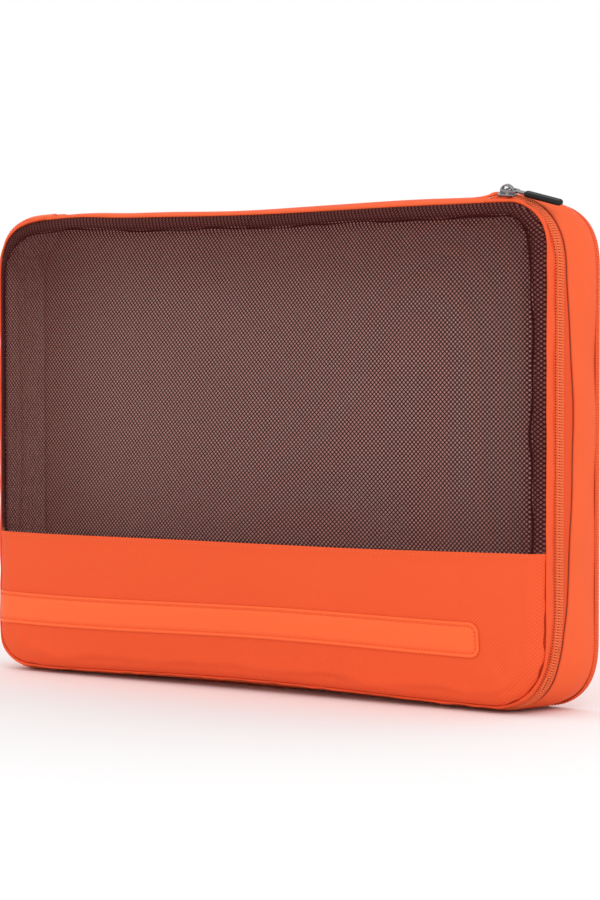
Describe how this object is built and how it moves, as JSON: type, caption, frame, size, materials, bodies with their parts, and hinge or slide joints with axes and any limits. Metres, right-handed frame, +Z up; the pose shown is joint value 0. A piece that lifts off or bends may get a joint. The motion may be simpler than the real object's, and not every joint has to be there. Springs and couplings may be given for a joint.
{
  "type": "packing cube",
  "caption": "Soft zipped packing cube with a mesh window and a plain lower panel in its lid, for clothes inside a suitcase.",
  "frame": {"origin": "middle of the footprint, on the surface that the case stands on", "axes": "+X to the right along the width, +Y to the back panel, +Z up; the mesh window faces -Y"},
  "size_m": [0.434, 0.06, 0.3045],
  "materials": {
    "case_fabric": "smooth coated polyester, orange",
    "panel_fabric": "fine diamond-woven polyester, orange",
    "smooth_trim": "smooth bright orange fabric tape with corded edges",
    "grosgrain": "ribbed grosgrain tape, orange",
    "mesh": "dark brown knitted diamond net",
    "zip_tape": "woven zip tape, orange",
    "zip_coil": "nylon coil, orange",
    "bright_metal": "bright nickel-plated die casting",
    "black_rubber": "moulded black rubber, satin"
  },
  "bodies": {
    "case": {"back_panel": "case_fabric", "rear_binding": "grosgrain", "side_gusset": "case_fabric", "hinge_gusset": "case_fabric", "zip_garage_right": "case_fabric", "zip_garage_left": "case_fabric", "rear_zip_tape": "zip_tape", "rear_zip_coil": "zip_coil", "front_band_end_right": "case_fabric", "front_band_end_left": "case_fabric", "front_tape_end_right": "zip_tape", "front_tape_end_left": "zip_tape", "front_coil_end_right": "zip_coil", "front_coil_end_left": "zip_coil"},
    "lid": {"mesh_window": "mesh", "lower_panel": "panel_fabric", "trim_strip": "smooth_trim", "front_band": "case_fabric", "front_zip_tape": "zip_tape", "front_zip_coil": "zip_coil", "lid_seam_binding": "grosgrain", "window_seam_tape": "grosgrain"},
    "slider": {"slider_body": "bright_metal", "slider_bridge": "bright_metal"},
    "pull": {"pull_link": "bright_metal", "pull_grip": "black_rubber"}
  },
  "joints": [
    {"name": "lid_hinge", "type": "hinge", "parent": "case", "child": "lid", "pos_m": [0, -0.02, 0.2922], "axis": [-1, 0, 0], "range_deg": [0, 150]},
    {"name": "slider_travel", "type": "hinge", "parent": "case", "child": "slider", "pos_m": [0.1742, -0.01, 0.2572], "axis": [0, 1, 0], "range_deg": [0, 23]},
    {"name": "pull_swing", "type": "hinge", "parent": "slider", "child": "pull", "pos_m": [0.17886, -0.01168, 0.30156], "axis": [-0.0358, -0.9397, -0.3401], "range_deg": [0, 165]}
  ]
}
